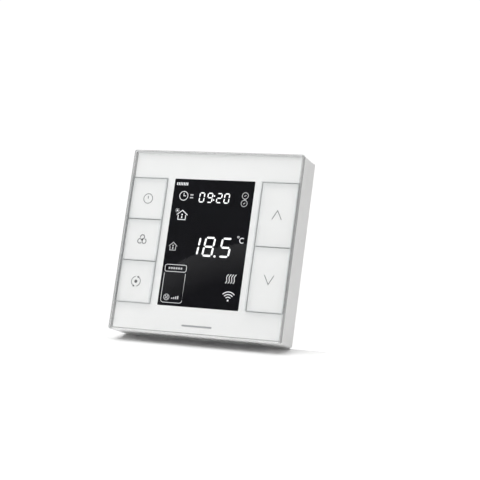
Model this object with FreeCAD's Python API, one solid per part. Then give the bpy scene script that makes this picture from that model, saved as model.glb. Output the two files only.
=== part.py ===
"""Square wall thermostat: a screwed base with its in-wall box, a pull-off front unit and five push keys.

Millimetres. X is right, Z is up and the front faces -Y. The wall is the plane y = 0, and the origin
is the centre of the base on that plane.
"""

import FreeCAD
import Part
import math
import os

V = FreeCAD.Vector
Y_AXIS = V(0, 1, 0)

# ---- Overall size ----
FACE = 86.0                 # side of the square front
PROUD = 16.0                # wall to front face
IN_WALL = 26.0              # wall to the back of the in-wall box
CORNER_R = 1.4              # outer corners of the housing, seen from the front

# ---- Clear face panel and its white print ----
PANEL_T = 1.6
PANEL_CORNER_R = 1.0
PANEL_BEVEL = 0.35
PRINT_T = 0.12
PRINT_CORNER_R = 0.4
CLEAR_BORDER = 1.1          # clear strip outside the print
DISPLAY_W = 40.6            # window in the print
DISPLAY_H = 59.9

# ---- Keys ----
STILE_W = 3.7               # display window to the middle of a key gap
KEY_FIELD_H = 59.4          # from gap middle to gap middle
KEY_GAP = 0.35
KEY_BEVEL = 0.2
KEY_TRAVEL = 0.5
KEY_STOP_GAP = 0.18         # flange to its ledge at rest
KEY_UNDERCUT = 0.3          # spare depth under a pressed cap
CARRIER_INSET = 1.05        # cap edge to carrier side
CARRIER_PLAY = 0.35         # carrier side to pocket wall
FLANGE_LIP = 0.75           # flange beyond the pocket edge
FLANGE_T = 0.9
FLANGE_SIDE_INSET = 0.3     # flange edge from its own cap edge
POST_R = 2.0
POST_L = 0.6

# ---- Front housing ----
SKIRT_T = 1.8
SKIRT_CORNER_R = 0.8        # inside corners
FRONT_WALL_T = 1.5
SKIRT_LIFT = 1.1            # wall to the housing's rear rim
RIM_CHAMFER = 0.3
SNAP_RIB_W = 9.0
SNAP_RIB_H = 0.5
SNAP_RIB_T = 1.0
SNAP_RIB_LIFT = 2.9         # wall to the near side of a rib
CLIP_X = 35.5
VENT_COUNT = 21
VENT_PITCH = 2.9
VENT_W = 1.5
VENT_L = 8.0
VENT_LIFT = 2.7             # wall to the near end of a vent
BOSS_INSET = 6.7            # inside of the skirt to a boss
BOSS_R = 2.6
PILOT_R = 0.8
PILOT_DEPTH = 4.6

# ---- Display module ----
LCD_MARGIN = 0.7            # glass beyond the print window, sideways
LCD_MARGIN_Z = 1.5
LCD_PLAY = 0.3
LCD_GAP = 0.08
LCD_GLASS_T = 1.1
POLARISER_T = 0.25
LCD_FRAME_T = 1.9           # frame wall above and below the glass
LCD_FRAME_PLAY = 0.8        # frame to the key flanges
LCD_LEDGE = 2.4             # front glass beyond the rear glass, at the top
LIGHT_GAP = 0.1
LIGHT_WALL = 2.0
STRIP_W = 1.6               # elastomer contact strip
STRIP_PLAY = 0.3

# ---- Control board ----
BOARD_PLAY = 3.0            # board edge to the inside of the skirt
BOARD_T = 1.6
SWITCH_SIDE = 6.0
SWITCH_H = 3.4
SWITCH_PLATE_T = 0.3
PLUNGER_R = 1.7
PLUNGER_H = 0.9
PLUNGER_PLAY = 0.12
PLUNGER_SUNK = 0.9          # plunger below the switch's plate
SWITCH_FLOOR = 0.8
SCREW_R = 1.0
SCREW_HEAD_R = 2.0
SCREW_HEAD_H = 1.3
SCREW_PLAY = 0.15
BOARD_SCREW_L = 5.0
COVER_SCREW_L = 8.1

# ---- Pieces on the control board: sizes, then places on its rear face ----
CHIP_SIDE = 10.0
CHIP_T = 1.28
CHIP_LIFT = 0.12
CHIP_AT = (0.0, -2.0)
LEAD_ROW = 12
LEAD_PITCH = 0.8
LEAD_W = 0.3
LEAD_L = 1.0
LEAD_T = 0.6
RADIO_W = 16.0
RADIO_L = 22.0
RADIO_T = 0.8
RADIO_CAN_W = 14.0
RADIO_CAN_L = 15.0
RADIO_CAN_T = 1.4
RADIO_AT = (0.0, -25.5)
CRYSTAL_W = 2.0
CRYSTAL_L = 4.6
CRYSTAL_T = 1.9
CRYSTAL_AT = (10.5, -2.0)
CELL_R = 6.25
CELL_T = 1.9
CELL_AT = (18.0, -20.0)
HOLDER_WALL = 0.95
HOLDER_FLOOR = 0.3
HOLDER_H = 1.5
HOLDER_NOTCH = 4.0
SMALL_W = 1.8
SMALL_D = 1.0
SMALL_T = 0.6
SMALL_COLUMNS = (-16.0, -13.0)
SMALL_COLUMN_Z = -10.0
SMALL_COLUMN_COUNT = 6
SMALL_COLUMN_PITCH = 2.4
SMALL_ROW_X = 14.0
SMALL_ROW_Z = 4.0
SMALL_ROW_COUNT = 5
SMALL_ROW_PITCH = 2.6
BEAD_R = 0.9
BEAD_X = 22.0
BEAD_LEAD_R = 0.2
BEAD_LEAD_PITCH = 0.8
BEAD_LEAD_L = 2.6
BEAD_PAD_W = 2.4
BEAD_PAD_H = 1.4

# ---- Link between the halves ----
LINK_WAYS = 8
LINK_PITCH = 2.54
LINK_Z = 13.0
LINK_DEPTH = 2.54
SOCKET_H = 8.4
SOCKET_ROOF = 0.5
PIN_SIDE = 0.64
PIN_PLAY = 0.15
PIN_TIP_GAP = 1.0           # pin tips to the control board
PIN_TAIL = 1.2              # pins behind the power board
HEADER_H = 2.5
LINK_WINDOW_PLAY = 0.6

# ---- Room behind the control board ----
TALL_PLAY = 0.8             # around a tall piece, in the plate's relief for it
TALL_GAP = 0.5              # from a tall piece to the plate behind it

# ---- Base ----
BASE_INSET = 0.6            # base flange inside the housing's outline
BASE_CORNER_R = 1.2
FLANGE_H = 0.9
PLATE_T = 2.4
PLATE_PLAY = 0.3            # raised plate inside the skirt
BOX_SIDE = 50.0
BOX_WALL = 1.8
BOX_CHAMFER = 4.0
BOX_INNER_CHAMFER = 3.4
BOX_SEAT = 0.9              # box rim let into the rear of the plate
SLOT_PITCH = 60.0
SLOT_R = 2.1
SLOT_L = 8.0
SLOT_SEAT_W = 9.6
SLOT_SEAT_L = 15.0
SLOT_SEAT_T = 1.2
POST_SIDE = 5.4
COVER_T = 1.6
COVER_SCREW_INSET = 4.4     # box side to a cover screw
COVER_PILOT_DEPTH = 9.0

# ---- Power board and terminals ----
POWER_BOARD_PLAY = 0.4
RAIL_T = 1.6
POLES = 7
POLE_PITCH = 5.08
BLOCK_Z = 9.6
BLOCK_H = 11.5
BLOCK_INSET = 0.3           # wire side to the outside of the box
BLOCK_PLAY = 0.35
BLOCK_SUNK = 0.5            # block below the cover's outer face
BLOCK_ROOF = 2.4            # block above its clamps
CLAMP_SIDE = 3.9
CLAMP_H = 5.6
CLAMP_WALL = 0.6
CLAMP_TOP_T = 1.2
CLAMP_INSET = 1.4           # wire side of the block to a clamp
CLAMP_PLAY = 0.1
ENTRY_W = 3.0
TERMINAL_SCREW_R = 1.9
TERMINAL_SHANK_R = 1.25
TERMINAL_HEAD_H = 1.6
TERMINAL_SHANK_L = 3.8
TERMINAL_SLOT_W = 0.6
TERMINAL_SLOT_D = 0.7
TERMINAL_SUNK = 0.5

# ---- Pieces on the front of the power board: sizes, then places ----
CORE_W = 15.0
CORE_L = 17.0
CORE_H = 10.2
CORE_FOOT = 0.4
WINDING_W = 10.4
WINDING_L = 22.0
WINDING_H = 7.8
BOBBIN_W = 12.8
BOBBIN_L = 23.2
BOBBIN_T = 1.6
TRANSFORMER_AT = (-10.0, -4.0)
RELAY_W = 10.2
RELAY_L = 19.2
RELAY_H = 10.4
RELAY_AT = (12.6, -8.5)
FUSE_R = 1.8
FUSE_L = 8.0
FUSE_CAP_R = 2.1
FUSE_CAP_L = 1.6
FUSE_LIFT = 2.6
FUSE_AT = (-8.0, -19.6)
VARISTOR_R = 4.2
VARISTOR_T = 3.2
VARISTOR_LIFT = 5.0
VARISTOR_AT = (2.2, -18.4)
CANS = ((12.8, 7.0, 3.6, 10.2), (4.0, 3.4, 2.6, 8.0))    # x, z, radius and height
FILM_W = 4.8
FILM_L = 10.4
FILM_H = 8.4
FILM_AT = (3.4, -8.4)

# ---- Spring clips ----
CLIP_W = 7.0
CLIP_T = 0.4
CLIP_STANDOFF = 1.2         # leaf to the inside of the skirt
CLIP_BITE = 0.3             # overlap of the clip's nose behind the rib
CLIP_REACH = 5.2
CLIP_FOOT = 4.0
CLIP_SEAT_PLAY = 0.15
CLIP_SEAT_DEPTH = 0.5

# ---- Places worked out from the values above ----
HALF = FACE / 2
PRINT_HALF = HALF - CLEAR_BORDER
SKIRT_IN = HALF - SKIRT_T
G = KEY_GAP / 2
KEY_INNER_X = DISPLAY_W / 2 + STILE_W
KEY_X = (KEY_INNER_X + PRINT_HALF) / 2
WINDOW_IN = KEY_INNER_X - G
WINDOW_OUT = PRINT_HALF + G
WINDOW_HZ = KEY_FIELD_H / 2 + G
POCKET_IN = KEY_INNER_X + G + CARRIER_INSET - CARRIER_PLAY
POCKET_OUT = SKIRT_IN - FLANGE_LIP
POCKET_HZ = KEY_FIELD_H / 2 - G - CARRIER_INSET + CARRIER_PLAY
BOSS_AT = SKIRT_IN - BOSS_INSET
BOSSES = [(x, z) for x in (-BOSS_AT, BOSS_AT) for z in (-BOSS_AT, BOSS_AT)]
BOARD_HALF = SKIRT_IN - BOARD_PLAY
LCD_HX = DISPLAY_W / 2 + LCD_MARGIN
LCD_HZ = DISPLAY_H / 2 + LCD_MARGIN_Z

Y_FRONT = -PROUD
Y_PRINT = Y_FRONT + PANEL_T
Y_DECK = Y_PRINT + PRINT_T
Y_DECK_BACK = Y_DECK + FRONT_WALL_T
Y_REBATE = Y_PRINT + KEY_TRAVEL + KEY_UNDERCUT
Y_LCD = Y_DECK + LCD_GAP
Y_LCD_BACK = Y_LCD + 2 * LCD_GLASS_T + 2 * POLARISER_T
Y_FLANGE = Y_DECK_BACK + KEY_STOP_GAP
Y_PLUNGER = Y_FLANGE + FLANGE_T + POST_L
Y_SWITCH = Y_PLUNGER + PLUNGER_H
Y_BOARD_FRONT = Y_SWITCH + SWITCH_H
Y_BOARD = Y_BOARD_FRONT + BOARD_T

BOX_HALF = BOX_SIDE / 2
BOX_IN = BOX_HALF - BOX_WALL
COVER_SCREW_AT = BOX_HALF - COVER_SCREW_INSET
COVER_SCREWS = [(x, z) for x in (-COVER_SCREW_AT, COVER_SCREW_AT) for z in (-COVER_SCREW_AT, COVER_SCREW_AT)]
Y_LID = IN_WALL - COVER_T
Y_BLOCK_BACK = IN_WALL - BLOCK_SUNK
Y_POWER_BACK = Y_BLOCK_BACK - BLOCK_H
Y_POWER = Y_POWER_BACK - BOARD_T
BLOCK_HX = POLES * POLE_PITCH / 2
BLOCK_LOW = BLOCK_INSET - BOX_HALF
BLOCK_TOP = BLOCK_LOW + BLOCK_Z
CLAMP_Z = BLOCK_LOW + CLAMP_INSET + CLAMP_SIDE / 2
Y_CLAMP_BACK = Y_BLOCK_BACK - BLOCK_ROOF
Y_SEAT = -FLANGE_H - CLIP_SEAT_DEPTH

LEFT_KEYS = ("power", "fan", "mode")
RIGHT_KEYS = ("up", "down")


# ---- Solids ----
def block(x0, x1, y0, y1, z0, z1):
    return Part.makeBox(x1 - x0, y1 - y0, z1 - z0, V(x0, y0, z0))


def rod(radius, y0, y1, x=0.0, z=0.0):
    return Part.makeCylinder(radius, y1 - y0, V(x, y0, z), Y_AXIS)


def slab(half_x, half_z, radius, y0, y1, x=0.0, z=0.0):
    """A rounded rectangle seen from the front, from y0 back to y1."""
    in_x = half_x - radius
    in_z = half_z - radius
    d = radius * math.sqrt(0.5)
    corners = ((1, 1), (-1, 1), (-1, -1), (1, -1))
    arcs = []
    for sx, sz in corners:
        centre = V(x + sx * in_x, y0, z + sz * in_z)
        side = centre + V(sx * radius, 0, 0)
        middle = centre + V(sx * d, 0, sz * d)
        top = centre + V(0, 0, sz * radius)
        ends = (side, middle, top) if sx * sz > 0 else (top, middle, side)
        arcs.append(ends)
    edges = []
    for i, ends in enumerate(arcs):
        edges.append(Part.Arc(*ends).toShape())
        edges.append(Part.LineSegment(ends[2], arcs[(i + 1) % 4][0]).toShape())
    return Part.Face(Part.Wire(edges)).extrude(V(0, y1 - y0, 0))


def prism_x(points, x0, x1):
    """A straight-sided outline of (y, z) points, drawn from x0 to x1."""
    loop = [V(x0, y, z) for y, z in points]
    wire = Part.makePolygon(loop + [loop[0]])
    return Part.Face(wire).extrude(V(x1 - x0, 0, 0))


def edges_at(shape, y):
    return [e for e in shape.Edges if abs(e.BoundBox.YMin - y) < 1e-5 and abs(e.BoundBox.YMax - y) < 1e-5]


def bevelled(shape, y, size):
    return shape.makeChamfer(size, edges_at(shape, y))


def joined(shapes):
    """Separate solids that share one file."""
    return Part.makeCompound(shapes)


def mirrored_x(shape):
    return shape.mirror(V(0, 0, 0), V(1, 0, 0))


def key_rows(count):
    """(middle, half height) of each key cap in a column, from the top down."""
    pitch = KEY_FIELD_H / count
    return [(KEY_FIELD_H / 2 - pitch * (i + 0.5), pitch / 2 - G) for i in range(count)]


def keys():
    """(name, side, middle z, half height) of the five keys."""
    rows = []
    for side, names in ((-1, LEFT_KEYS), (1, RIGHT_KEYS)):
        for name, (z, half) in zip(names, key_rows(len(names))):
            rows.append((name, side, z, half))
    return rows


def on_side(side, shape):
    return shape if side > 0 else mirrored_x(shape)


# ---- Front unit ----
def face_panel():
    panel = slab(HALF, HALF, PANEL_CORNER_R, Y_FRONT, Y_PRINT)
    panel = bevelled(panel, Y_FRONT, PANEL_BEVEL)
    for side in (-1, 1):
        window = block(WINDOW_IN, WINDOW_OUT, Y_FRONT - 1, Y_PRINT + 1, -WINDOW_HZ, WINDOW_HZ)
        panel = panel.cut(on_side(side, window))
    return panel


def face_print():
    film = slab(PRINT_HALF, PRINT_HALF, PRINT_CORNER_R, Y_PRINT, Y_DECK)
    film = film.cut(slab(DISPLAY_W / 2, DISPLAY_H / 2, 0.4, Y_PRINT - 1, Y_DECK + 1))
    for side in (-1, 1):
        window = block(WINDOW_IN, HALF, Y_PRINT - 1, Y_DECK + 1, -WINDOW_HZ, WINDOW_HZ)
        film = film.cut(on_side(side, window))
    return film


def front_housing():
    shell = slab(HALF, HALF, CORNER_R, Y_DECK, -SKIRT_LIFT)
    shell = bevelled(shell, Y_DECK, RIM_CHAMFER)
    hollow = slab(SKIRT_IN, SKIRT_IN, SKIRT_CORNER_R, Y_DECK_BACK, 0)
    shell = shell.cut(hollow)
    shell = shell.cut(slab(LCD_HX + LCD_PLAY, LCD_HZ + LCD_PLAY, 0.5, Y_DECK - 1, Y_DECK_BACK + 1))
    for side in (-1, 1):
        rebate = block(WINDOW_IN, WINDOW_OUT, Y_DECK - 1, Y_REBATE, -WINDOW_HZ, WINDOW_HZ)
        pocket = block(POCKET_IN, POCKET_OUT, Y_DECK - 1, Y_DECK_BACK + 1, -POCKET_HZ, POCKET_HZ)
        shell = shell.cut(on_side(side, rebate.fuse(pocket)))
    shell = shell.cut(vents())
    shell = shell.fuse(snap_ribs())
    for x, z in BOSSES:
        shell = shell.fuse(rod(BOSS_R, Y_DECK_BACK - 0.2, Y_BOARD_FRONT, x, z))
        shell = shell.cut(rod(PILOT_R, Y_BOARD_FRONT - PILOT_DEPTH, Y_BOARD_FRONT + 1, x, z))
    return shell.removeSplitter()


def vents():
    """Rows of round-ended slots through the skirt, above and below."""
    cuts = []
    y_near = -VENT_LIFT
    r = VENT_W / 2
    for i in range(VENT_COUNT):
        x = (i - (VENT_COUNT - 1) / 2) * VENT_PITCH
        cut = block(x - r, x + r, y_near - VENT_L + r, y_near - r, -HALF - 1, HALF + 1)
        for y in (y_near - VENT_L + r, y_near - r):
            cut = cut.fuse(Part.makeCylinder(r, FACE + 2, V(x, y, -HALF - 1), V(0, 0, 1)))
        cuts.append(cut)
    row = cuts[0].multiFuse(cuts[1:])
    middle = block(-FACE, FACE, Y_DECK_BACK, 0, -SKIRT_IN + 0.5, SKIRT_IN - 0.5)
    return row.cut(middle)


def snap_ribs():
    """Four low ribs inside the skirt that the spring clips hold."""
    far = -SNAP_RIB_LIFT - SNAP_RIB_T
    slope = SNAP_RIB_H
    outline = (
        (-SNAP_RIB_LIFT, SKIRT_IN + 0.4),
        (-SNAP_RIB_LIFT, SKIRT_IN),
        (-SNAP_RIB_LIFT - slope * 0.4, SKIRT_IN - SNAP_RIB_H),
        (far + slope * 0.4, SKIRT_IN - SNAP_RIB_H),
        (far, SKIRT_IN),
        (far, SKIRT_IN + 0.4),
    )
    ribs = []
    for x in (-CLIP_X, CLIP_X):
        rib = prism_x(outline, x - SNAP_RIB_W / 2, x + SNAP_RIB_W / 2)
        ribs.append(rib)
        ribs.append(rib.mirror(V(0, 0, 0), V(0, 0, 1)))
    return joined(ribs)


def lcd_glass():
    front = Y_LCD + POLARISER_T
    middle = front + LCD_GLASS_T
    glass = block(-LCD_HX, LCD_HX, front, middle, -LCD_HZ, LCD_HZ)
    return glass.fuse(block(-LCD_HX, LCD_HX, middle, middle + LCD_GLASS_T, -LCD_HZ, LCD_HZ - LCD_LEDGE))


def lcd_polarisers():
    rear = Y_LCD_BACK - POLARISER_T
    front_film = block(-LCD_HX, LCD_HX, Y_LCD, Y_LCD + POLARISER_T, -LCD_HZ, LCD_HZ)
    rear_film = block(-LCD_HX, LCD_HX, rear, Y_LCD_BACK, -LCD_HZ, LCD_HZ - LCD_LEDGE)
    return joined([front_film, rear_film])


def lcd_backlight():
    y0 = Y_LCD_BACK + LIGHT_GAP
    top = LCD_HZ - LCD_LEDGE
    wall = LIGHT_WALL
    body = block(-LCD_HX, LCD_HX, y0, Y_BOARD_FRONT, -LCD_HZ, top)
    return body.cut(block(wall - LCD_HX, LCD_HX - wall, y0 + wall, Y_BOARD_FRONT, wall - LCD_HZ, top - wall))


def lcd_contact_strip():
    y0 = Y_LCD + POLARISER_T + LCD_GLASS_T
    top = LCD_HZ - STRIP_PLAY
    return block(LIGHT_WALL - LCD_HX, LCD_HX - LIGHT_WALL, y0, Y_BOARD_FRONT, top - STRIP_W, top)


def lcd_frame():
    y0 = Y_DECK_BACK + 0.2
    outer_x = POCKET_IN - FLANGE_LIP - LCD_FRAME_PLAY
    outer = slab(outer_x, LCD_HZ + LCD_FRAME_T, 1.2, y0, Y_BOARD_FRONT)
    inner = slab(LCD_HX + 0.2, LCD_HZ + 0.2, 0.3, y0 - 1, Y_BOARD_FRONT + 1)
    return outer.cut(inner)


def control_board():
    board = slab(BOARD_HALF, BOARD_HALF, 1.0, Y_BOARD_FRONT, Y_BOARD)
    for x, z in BOSSES:
        board = board.cut(rod(SCREW_R + SCREW_PLAY, Y_BOARD_FRONT - 1, Y_BOARD + 1, x, z))
    return board


def cross_head_screw(x, z, y_seat, length):
    """A screw whose head faces the wall and sits on y_seat; length is from that seat to the tip."""
    top = y_seat + SCREW_HEAD_H
    screw = rod(PILOT_R, y_seat - length, y_seat, x, z).fuse(rod(SCREW_HEAD_R, y_seat, top, x, z))
    arm = SCREW_HEAD_R * 0.6
    half = SCREW_HEAD_R * 0.14
    depth = SCREW_HEAD_R * 0.3
    for dx, dz in ((arm, half), (half, arm)):
        screw = screw.cut(block(x - dx, x + dx, top - depth, top + 1, z - dz, z + dz))
    return screw


def board_screws():
    return joined([cross_head_screw(x, z, Y_BOARD, BOARD_SCREW_L) for x, z in BOSSES])


def switch_places():
    return [(side * KEY_X, z) for name, side, z, half in keys()]


def switch_bodies():
    """A tactile switch under each key, hollow for its plunger."""
    half = SWITCH_SIDE / 2
    bodies = []
    for x, z in switch_places():
        body = slab(half, half, 0.4, Y_SWITCH + SWITCH_PLATE_T, Y_BOARD_FRONT, x, z)
        bodies.append(body.cut(rod(PLUNGER_R + PLUNGER_PLAY, Y_SWITCH, Y_BOARD_FRONT - SWITCH_FLOOR, x, z)))
    return joined(bodies)


def switch_plates():
    """Steel top plates of the switches."""
    half = SWITCH_SIDE / 2
    y1 = Y_SWITCH + SWITCH_PLATE_T
    plates = []
    for x, z in switch_places():
        plate = slab(half, half, 0.4, Y_SWITCH, y1, x, z)
        plates.append(plate.cut(rod(PLUNGER_R + PLUNGER_PLAY, Y_SWITCH - 1, y1 + 1, x, z)))
    return joined(plates)


def on_board(w, l, y0, y1, at):
    """A block of width w and length l, centred at an (x, z) place."""
    x, z = at
    return block(x - w / 2, x + w / 2, y0, y1, z - l / 2, z + l / 2)


def controller_chip():
    y0 = Y_BOARD + CHIP_LIFT
    x, z = CHIP_AT
    half = CHIP_SIDE / 2
    body = on_board(CHIP_SIDE, CHIP_SIDE, y0, y0 + CHIP_T, CHIP_AT)
    body = body.cut(rod(0.5, y0 + CHIP_T - 0.2, y0 + CHIP_T + 1, x - half + 1.1, z + half - 1.1))
    leads = []
    out = half + LEAD_L / 2
    for i in range(LEAD_ROW):
        a = (i - (LEAD_ROW - 1) / 2) * LEAD_PITCH
        for side in (-1, 1):
            leads.append(on_board(LEAD_W, LEAD_L, Y_BOARD, Y_BOARD + LEAD_T, (x + a, z + side * out)))
            leads.append(on_board(LEAD_L, LEAD_W, Y_BOARD, Y_BOARD + LEAD_T, (x + side * out, z + a)))
    return joined([body] + leads)


def radio_module():
    y1 = Y_BOARD + RADIO_T
    x, z = RADIO_AT
    can_z = z + (RADIO_L - RADIO_CAN_L) / 2 - 1.0
    can = on_board(RADIO_CAN_W, RADIO_CAN_L, y1, y1 + RADIO_CAN_T, (x, can_z))
    return on_board(RADIO_W, RADIO_L, Y_BOARD, y1, RADIO_AT).fuse(can)


def crystal():
    x, z = CRYSTAL_AT
    return slab(CRYSTAL_W / 2, CRYSTAL_L / 2, CRYSTAL_W / 2 - 0.05, Y_BOARD, Y_BOARD + CRYSTAL_T, x, z)


def backup_cell():
    x, z = CELL_AT
    return rod(CELL_R, Y_BOARD + HOLDER_FLOOR, Y_BOARD + HOLDER_FLOOR + CELL_T, x, z)


def cell_holder():
    x, z = CELL_AT
    floor = Y_BOARD + HOLDER_FLOOR
    top = Y_BOARD + HOLDER_H
    ring = rod(CELL_R + HOLDER_WALL, Y_BOARD, top, x, z)
    ring = ring.cut(rod(CELL_R + 0.05, floor, top + 1, x, z))
    return ring.cut(block(x - HOLDER_NOTCH / 2, x + HOLDER_NOTCH / 2, floor, top + 1, z - CELL_R * 2, z))


def small_parts():
    """Chip resistors and capacitors on the rear of the control board."""
    places = [(x, SMALL_COLUMN_Z + i * SMALL_COLUMN_PITCH)
              for x in SMALL_COLUMNS for i in range(SMALL_COLUMN_COUNT)]
    places += [(SMALL_ROW_X + i * SMALL_ROW_PITCH, SMALL_ROW_Z) for i in range(SMALL_ROW_COUNT)]
    return joined([on_board(SMALL_W, SMALL_D, Y_BOARD, Y_BOARD + SMALL_T, at) for at in places])


def temperature_sensor():
    """A bead on two leads below the board, in the air from the lower vents."""
    z = -(SKIRT_IN + BOARD_HALF) / 2
    y = Y_BOARD_FRONT - 0.6
    bead = Part.makeSphere(BEAD_R, V(BEAD_X, y, z))
    pieces = [bead]
    top = z + BEAD_LEAD_L
    for side in (-1, 1):
        x = BEAD_X + side * BEAD_LEAD_PITCH / 2
        pieces.append(Part.makeCylinder(BEAD_LEAD_R, BEAD_LEAD_L, V(x, y, z), V(0, 0, 1)).cut(bead))
    half = BEAD_PAD_W / 2
    pieces.append(block(BEAD_X - half, BEAD_X + half, y - 0.2, Y_BOARD_FRONT, top, top + BEAD_PAD_H))
    return joined(pieces)


def link_places():
    return [(i - (LINK_WAYS - 1) / 2) * LINK_PITCH for i in range(LINK_WAYS)]


def link_strip(y0, y1, hole_side, hole_y0):
    """A moulded strip with a square hole for each pin, from hole_y0 back."""
    strip = on_board(LINK_WAYS * LINK_PITCH, LINK_DEPTH, y0, y1, (0, LINK_Z))
    for x in link_places():
        strip = strip.cut(on_board(hole_side, hole_side, hole_y0, y1 + 1, (x, LINK_Z)))
    return strip


def link_socket():
    """Female half of the link, on the rear of the control board."""
    return link_strip(Y_BOARD, Y_BOARD + SOCKET_H, PIN_SIDE + 2 * PIN_PLAY, Y_BOARD + SOCKET_ROOF)


# ---- Keys ----
def key_cap(side, z, half):
    cap = slab((PRINT_HALF - KEY_INNER_X) / 2 - G, half, 0.25, Y_FRONT, Y_PRINT, KEY_X, z)
    return on_side(side, bevelled(cap, Y_FRONT, KEY_BEVEL))


def key_carrier(side, z, half):
    body_half = half - CARRIER_INSET
    body = block(POCKET_IN + CARRIER_PLAY, POCKET_OUT - CARRIER_PLAY, Y_PRINT, Y_FLANGE,
                 z - body_half, z + body_half)
    facing = block(KEY_INNER_X + G, PRINT_HALF - G, Y_PRINT, Y_PRINT + PRINT_T, z - half, z + half)
    flange_half = half - FLANGE_SIDE_INSET
    flange = block(POCKET_IN - FLANGE_LIP, POCKET_OUT + FLANGE_LIP - CARRIER_PLAY, Y_FLANGE,
                   Y_FLANGE + FLANGE_T, z - flange_half, z + flange_half)
    post = rod(POST_R, Y_FLANGE, Y_PLUNGER, KEY_X, z)
    return on_side(side, body.multiFuse([facing, flange, post]).removeSplitter())


def switch_plunger(side, z):
    return rod(PLUNGER_R, Y_PLUNGER, Y_SWITCH + PLUNGER_SUNK, side * KEY_X, z)


# ---- Base ----
def base_plate():
    """Plate on the wall. Its raised middle fits inside the housing's skirt."""
    half = HALF - BASE_INSET
    raised_half = SKIRT_IN - PLATE_PLAY
    plate = slab(half, half, BASE_CORNER_R, -FLANGE_H, 0)
    plate = plate.fuse(slab(raised_half, raised_half, SKIRT_CORNER_R, -PLATE_T, -FLANGE_H))
    for x in (-SLOT_PITCH / 2, SLOT_PITCH / 2):
        plate = plate.cut(wall_slot(x))
    window_w = LINK_WAYS * LINK_PITCH + 2 * LINK_WINDOW_PLAY
    window_d = LINK_DEPTH + 2 * LINK_WINDOW_PLAY
    plate = plate.cut(on_board(window_w, window_d, -PLATE_T - 1, 1, (0, LINK_Z)))
    for x in (-CLIP_X, CLIP_X):
        for sign in (-1, 1):
            plate = plate.cut(clip_seat(x, sign))
    plate = plate.cut(chamfered_box(BOX_HALF, BOX_CHAMFER, -BOX_SEAT, 1))
    plate = plate.cut(tall_relief(RADIO_W, RADIO_L, RADIO_T + RADIO_CAN_T, RADIO_AT))
    plate = plate.cut(tall_relief(2 * CELL_R, 2 * CELL_R, HOLDER_FLOOR + CELL_T, CELL_AT))
    return plate.removeSplitter()


def tall_relief(w, l, height, at):
    """Room for a tall piece behind the control board. It reaches the plate only if the piece comes near it."""
    return on_board(w + 2 * TALL_PLAY, l + 2 * TALL_PLAY, Y_BOARD, Y_BOARD + height + TALL_GAP, at)


def in_wall_box():
    """Box behind the plate, let into its rear, open to the back and, for the wires, below."""
    box = chamfered_box(BOX_HALF, BOX_CHAMFER, -BOX_SEAT, Y_LID)
    box = box.cut(chamfered_box(BOX_IN, BOX_INNER_CHAMFER, -BOX_SEAT - 1, Y_LID + 1))
    for x, z in COVER_SCREWS:
        box = box.fuse(corner_post(x, z))
        box = box.cut(rod(PILOT_R, Y_LID - COVER_PILOT_DEPTH, Y_LID + 1, x, z))
    reach = COVER_SCREW_AT - POST_SIDE / 2 - 1.0
    rail = block(BOX_IN - RAIL_T, BOX_IN + 0.2, -BOX_SEAT, Y_POWER, -reach, reach)
    box = box.multiFuse([rail, mirrored_x(rail)])
    box = box.cut(terminal_window(Y_POWER_BACK, Y_LID + 1))
    return box.removeSplitter()


def chamfered_box(half, chamfer, y0, y1):
    body = block(-half, half, y0, y1, -half, half)
    edges = [e for e in body.Edges if e.BoundBox.YLength > 0.5 * (y1 - y0)]
    return body.makeChamfer(chamfer, edges)


def corner_post(x, z):
    """Post in a corner of the box that takes a cover screw."""
    post = on_board(POST_SIDE, POST_SIDE, -BOX_SEAT, Y_LID, (x, z))
    return post.common(chamfered_box(BOX_HALF, BOX_CHAMFER, -BOX_SEAT, Y_LID))


def wall_slot(x):
    """Slot for a wall screw, in a seat that hides its head."""
    straight = SLOT_L / 2 - SLOT_R
    cut = block(x - straight, x + straight, -PLATE_T, 1, -SLOT_R, SLOT_R)
    cut = cut.fuse(rod(SLOT_R, -PLATE_T, 1, x - straight, 0))
    cut = cut.fuse(rod(SLOT_R, -PLATE_T, 1, x + straight, 0))
    seat = slab(SLOT_SEAT_L / 2, SLOT_SEAT_W / 2, SLOT_SEAT_W / 2 - 0.1, -PLATE_T - 1, -SLOT_SEAT_T, x, 0)
    return cut.fuse(seat)


def terminal_window(y0, y1):
    half = BLOCK_HX + BLOCK_PLAY
    return block(-half, half, y0, y1, -BOX_HALF - 1, BLOCK_TOP + BLOCK_PLAY)


def clip_seat(x, sign):
    """Room in the raised plate's edge for a clip."""
    z_in = SKIRT_IN - CLIP_STANDOFF - CLIP_FOOT - CLIP_SEAT_PLAY
    half = CLIP_W / 2 + CLIP_SEAT_PLAY
    seat = block(x - half, x + half, -PLATE_T - 1, Y_SEAT, z_in, HALF)
    return seat if sign > 0 else seat.mirror(V(0, 0, 0), V(0, 0, 1))


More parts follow.
